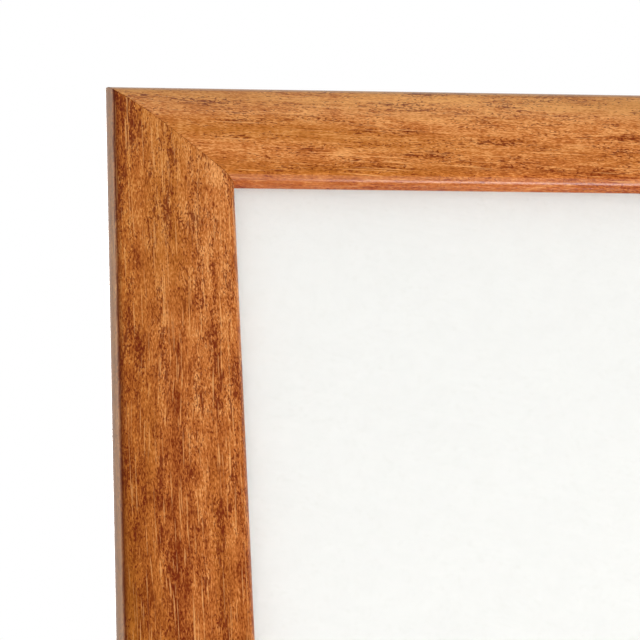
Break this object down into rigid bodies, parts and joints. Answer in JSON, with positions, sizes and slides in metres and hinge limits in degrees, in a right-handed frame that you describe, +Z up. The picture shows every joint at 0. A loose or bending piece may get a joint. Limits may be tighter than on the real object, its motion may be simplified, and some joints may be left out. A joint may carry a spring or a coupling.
{
  "type": "certificate frame",
  "caption": "Mitred stained-wood certificate frame with glass, a blank sheet, an easel back that swings out, turn buttons and sawtooth hangers.",
  "frame": {"origin": "middle of the bottom rail's outer side, half way through the moulding's depth", "axes": "+X to the right as seen from the front, +Y towards the back, +Z up"},
  "size_m": [0.3194, 0.0223, 0.2559],
  "materials": {
    "stained_hardwood": "satin",
    "clear_glass": "polished",
    "white_paper": "matte",
    "foam_board": "matte",
    "brown_hardboard": "matte",
    "zinc_plated_steel": "satin",
    "brass_plated_steel": "satin"
  },
  "bodies": {
    "frame": {"top_rail": "stained_hardwood", "bottom_rail": "stained_hardwood", "left_rail": "stained_hardwood", "right_rail": "stained_hardwood", "glass_pane": "clear_glass", "certificate_sheet": "white_paper", "foam_filler": "foam_board", "backing_board": "brown_hardboard", "corner_v_nails": "zinc_plated_steel", "turn_button_screws": "zinc_plated_steel", "easel_hinge_fixed_leaf": "zinc_plated_steel", "easel_hinge_pin": "zinc_plated_steel", "fixed_leaf_rivets": "zinc_plated_steel", "sawtooth_hanger_top": "brass_plated_steel", "sawtooth_hanger_side": "brass_plated_steel", "hanger_nails": "brass_plated_steel"},
    "easel": {"easel_strut": "brown_hardboard", "easel_hinge_moving_leaf": "zinc_plated_steel", "moving_leaf_rivets": "zinc_plated_steel"},
    "button_top_left": {"turn_button_top_left": "zinc_plated_steel"},
    "button_top_right": {"turn_button_top_right": "zinc_plated_steel"},
    "button_bottom_left": {"turn_button_bottom_left": "zinc_plated_steel"},
    "button_bottom_right": {"turn_button_bottom_right": "zinc_plated_steel"},
    "button_left": {"turn_button_left": "zinc_plated_steel"},
    "button_right": {"turn_button_right": "zinc_plated_steel"}
  },
  "joints": [
    {"name": "easel_swing", "type": "hinge", "parent": "frame", "child": "easel", "pos_m": [0, 0.009, 0.1899], "axis": [1, 0, 0], "range_deg": [0, 30]},
    {"name": "turn_top_left", "type": "hinge", "parent": "frame", "child": "button_top_left", "pos_m": [-0.085, 0.0072, 0.2464], "axis": [0, 1, 0], "continuous": true},
    {"name": "turn_top_right", "type": "hinge", "parent": "frame", "child": "button_top_right", "pos_m": [0.085, 0.0072, 0.2464], "axis": [0, 1, 0], "continuous": true},
    {"name": "turn_bottom_left", "type": "hinge", "parent": "frame", "child": "button_bottom_left", "pos_m": [-0.085, 0.0072, 0.0095], "axis": [0, 1, 0], "continuous": true},
    {"name": "turn_bottom_right", "type": "hinge", "parent": "frame", "child": "button_bottom_right", "pos_m": [0.085, 0.0072, 0.0095], "axis": [0, 1, 0], "continuous": true},
    {"name": "turn_left", "type": "hinge", "parent": "frame", "child": "button_left", "pos_m": [-0.1502, 0.0072, 0.07595], "axis": [0, 1, 0], "continuous": true},
    {"name": "turn_right", "type": "hinge", "parent": "frame", "child": "button_right", "pos_m": [0.1502, 0.0072, 0.07595], "axis": [0, 1, 0], "continuous": true}
  ]
}
